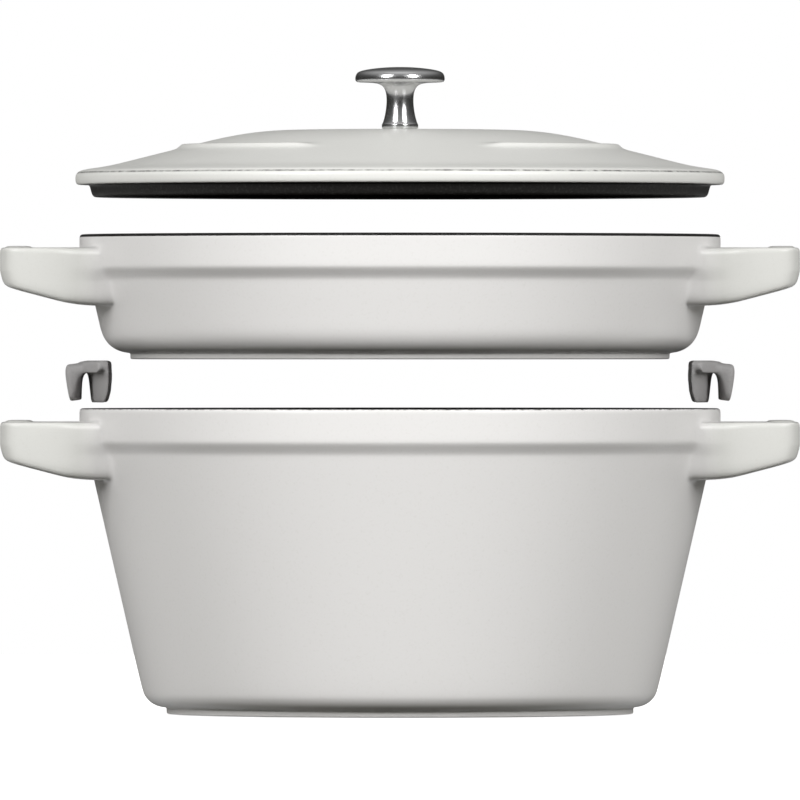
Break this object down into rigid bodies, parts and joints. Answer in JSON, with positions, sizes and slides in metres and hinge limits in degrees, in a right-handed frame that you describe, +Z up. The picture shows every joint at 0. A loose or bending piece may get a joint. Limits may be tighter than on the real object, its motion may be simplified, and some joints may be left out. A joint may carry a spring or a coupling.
{
  "type": "round dutch oven",
  "caption": "Round enamelled dutch oven with a shallow pan that nests in its mouth on silicone rim clips, and a shared lid with a steel knob, shown lifted apart.",
  "frame": {"origin": "centre of the pot's base, on the surface that it stands on", "axes": "+Z up along the common axis of the pot, the pan and the lid; +X along the line through the loop handles"},
  "size_m": [0.3108, 0.2536, 0.2525],
  "materials": {
    "enamelled_iron": "glossy pale grey enamel outside, matte black enamel inside",
    "polished_steel": "polished stainless steel",
    "screw_steel": "plain stainless steel",
    "silicone": "matte grey silicone"
  },
  "bodies": {
    "pot": {"dutch_oven_pot": "enamelled_iron"},
    "pan": {"braiser_pan": "enamelled_iron"},
    "lid": {"lid": "enamelled_iron", "lid_knob": "polished_steel", "knob_screw": "screw_steel", "knob_washer": "screw_steel"},
    "left_clip": {"left_rim_clip": "silicone"},
    "right_clip": {"right_rim_clip": "silicone"}
  },
  "joints": [
    {"name": "pan_lift", "type": "slide", "parent": "pot", "child": "pan", "axis": [0, 0, 1], "range_m": [-0.0355, 0]},
    {"name": "lid_lift", "type": "slide", "parent": "pan", "child": "lid", "axis": [0, 0, 1], "range_m": [-0.019, 0]},
    {"name": "left_clip_lift", "type": "slide", "parent": "pot", "child": "left_clip", "axis": [0, 0, 1], "range_m": [-0.0142, 0]},
    {"name": "right_clip_lift", "type": "slide", "parent": "pot", "child": "right_clip", "axis": [0, 0, 1], "range_m": [-0.0142, 0]}
  ],
  "couplings": [
    {"joint": "left_clip_lift", "follows": "pan_lift", "ratio": 0.4},
    {"joint": "right_clip_lift", "follows": "pan_lift", "ratio": 0.4}
  ]
}
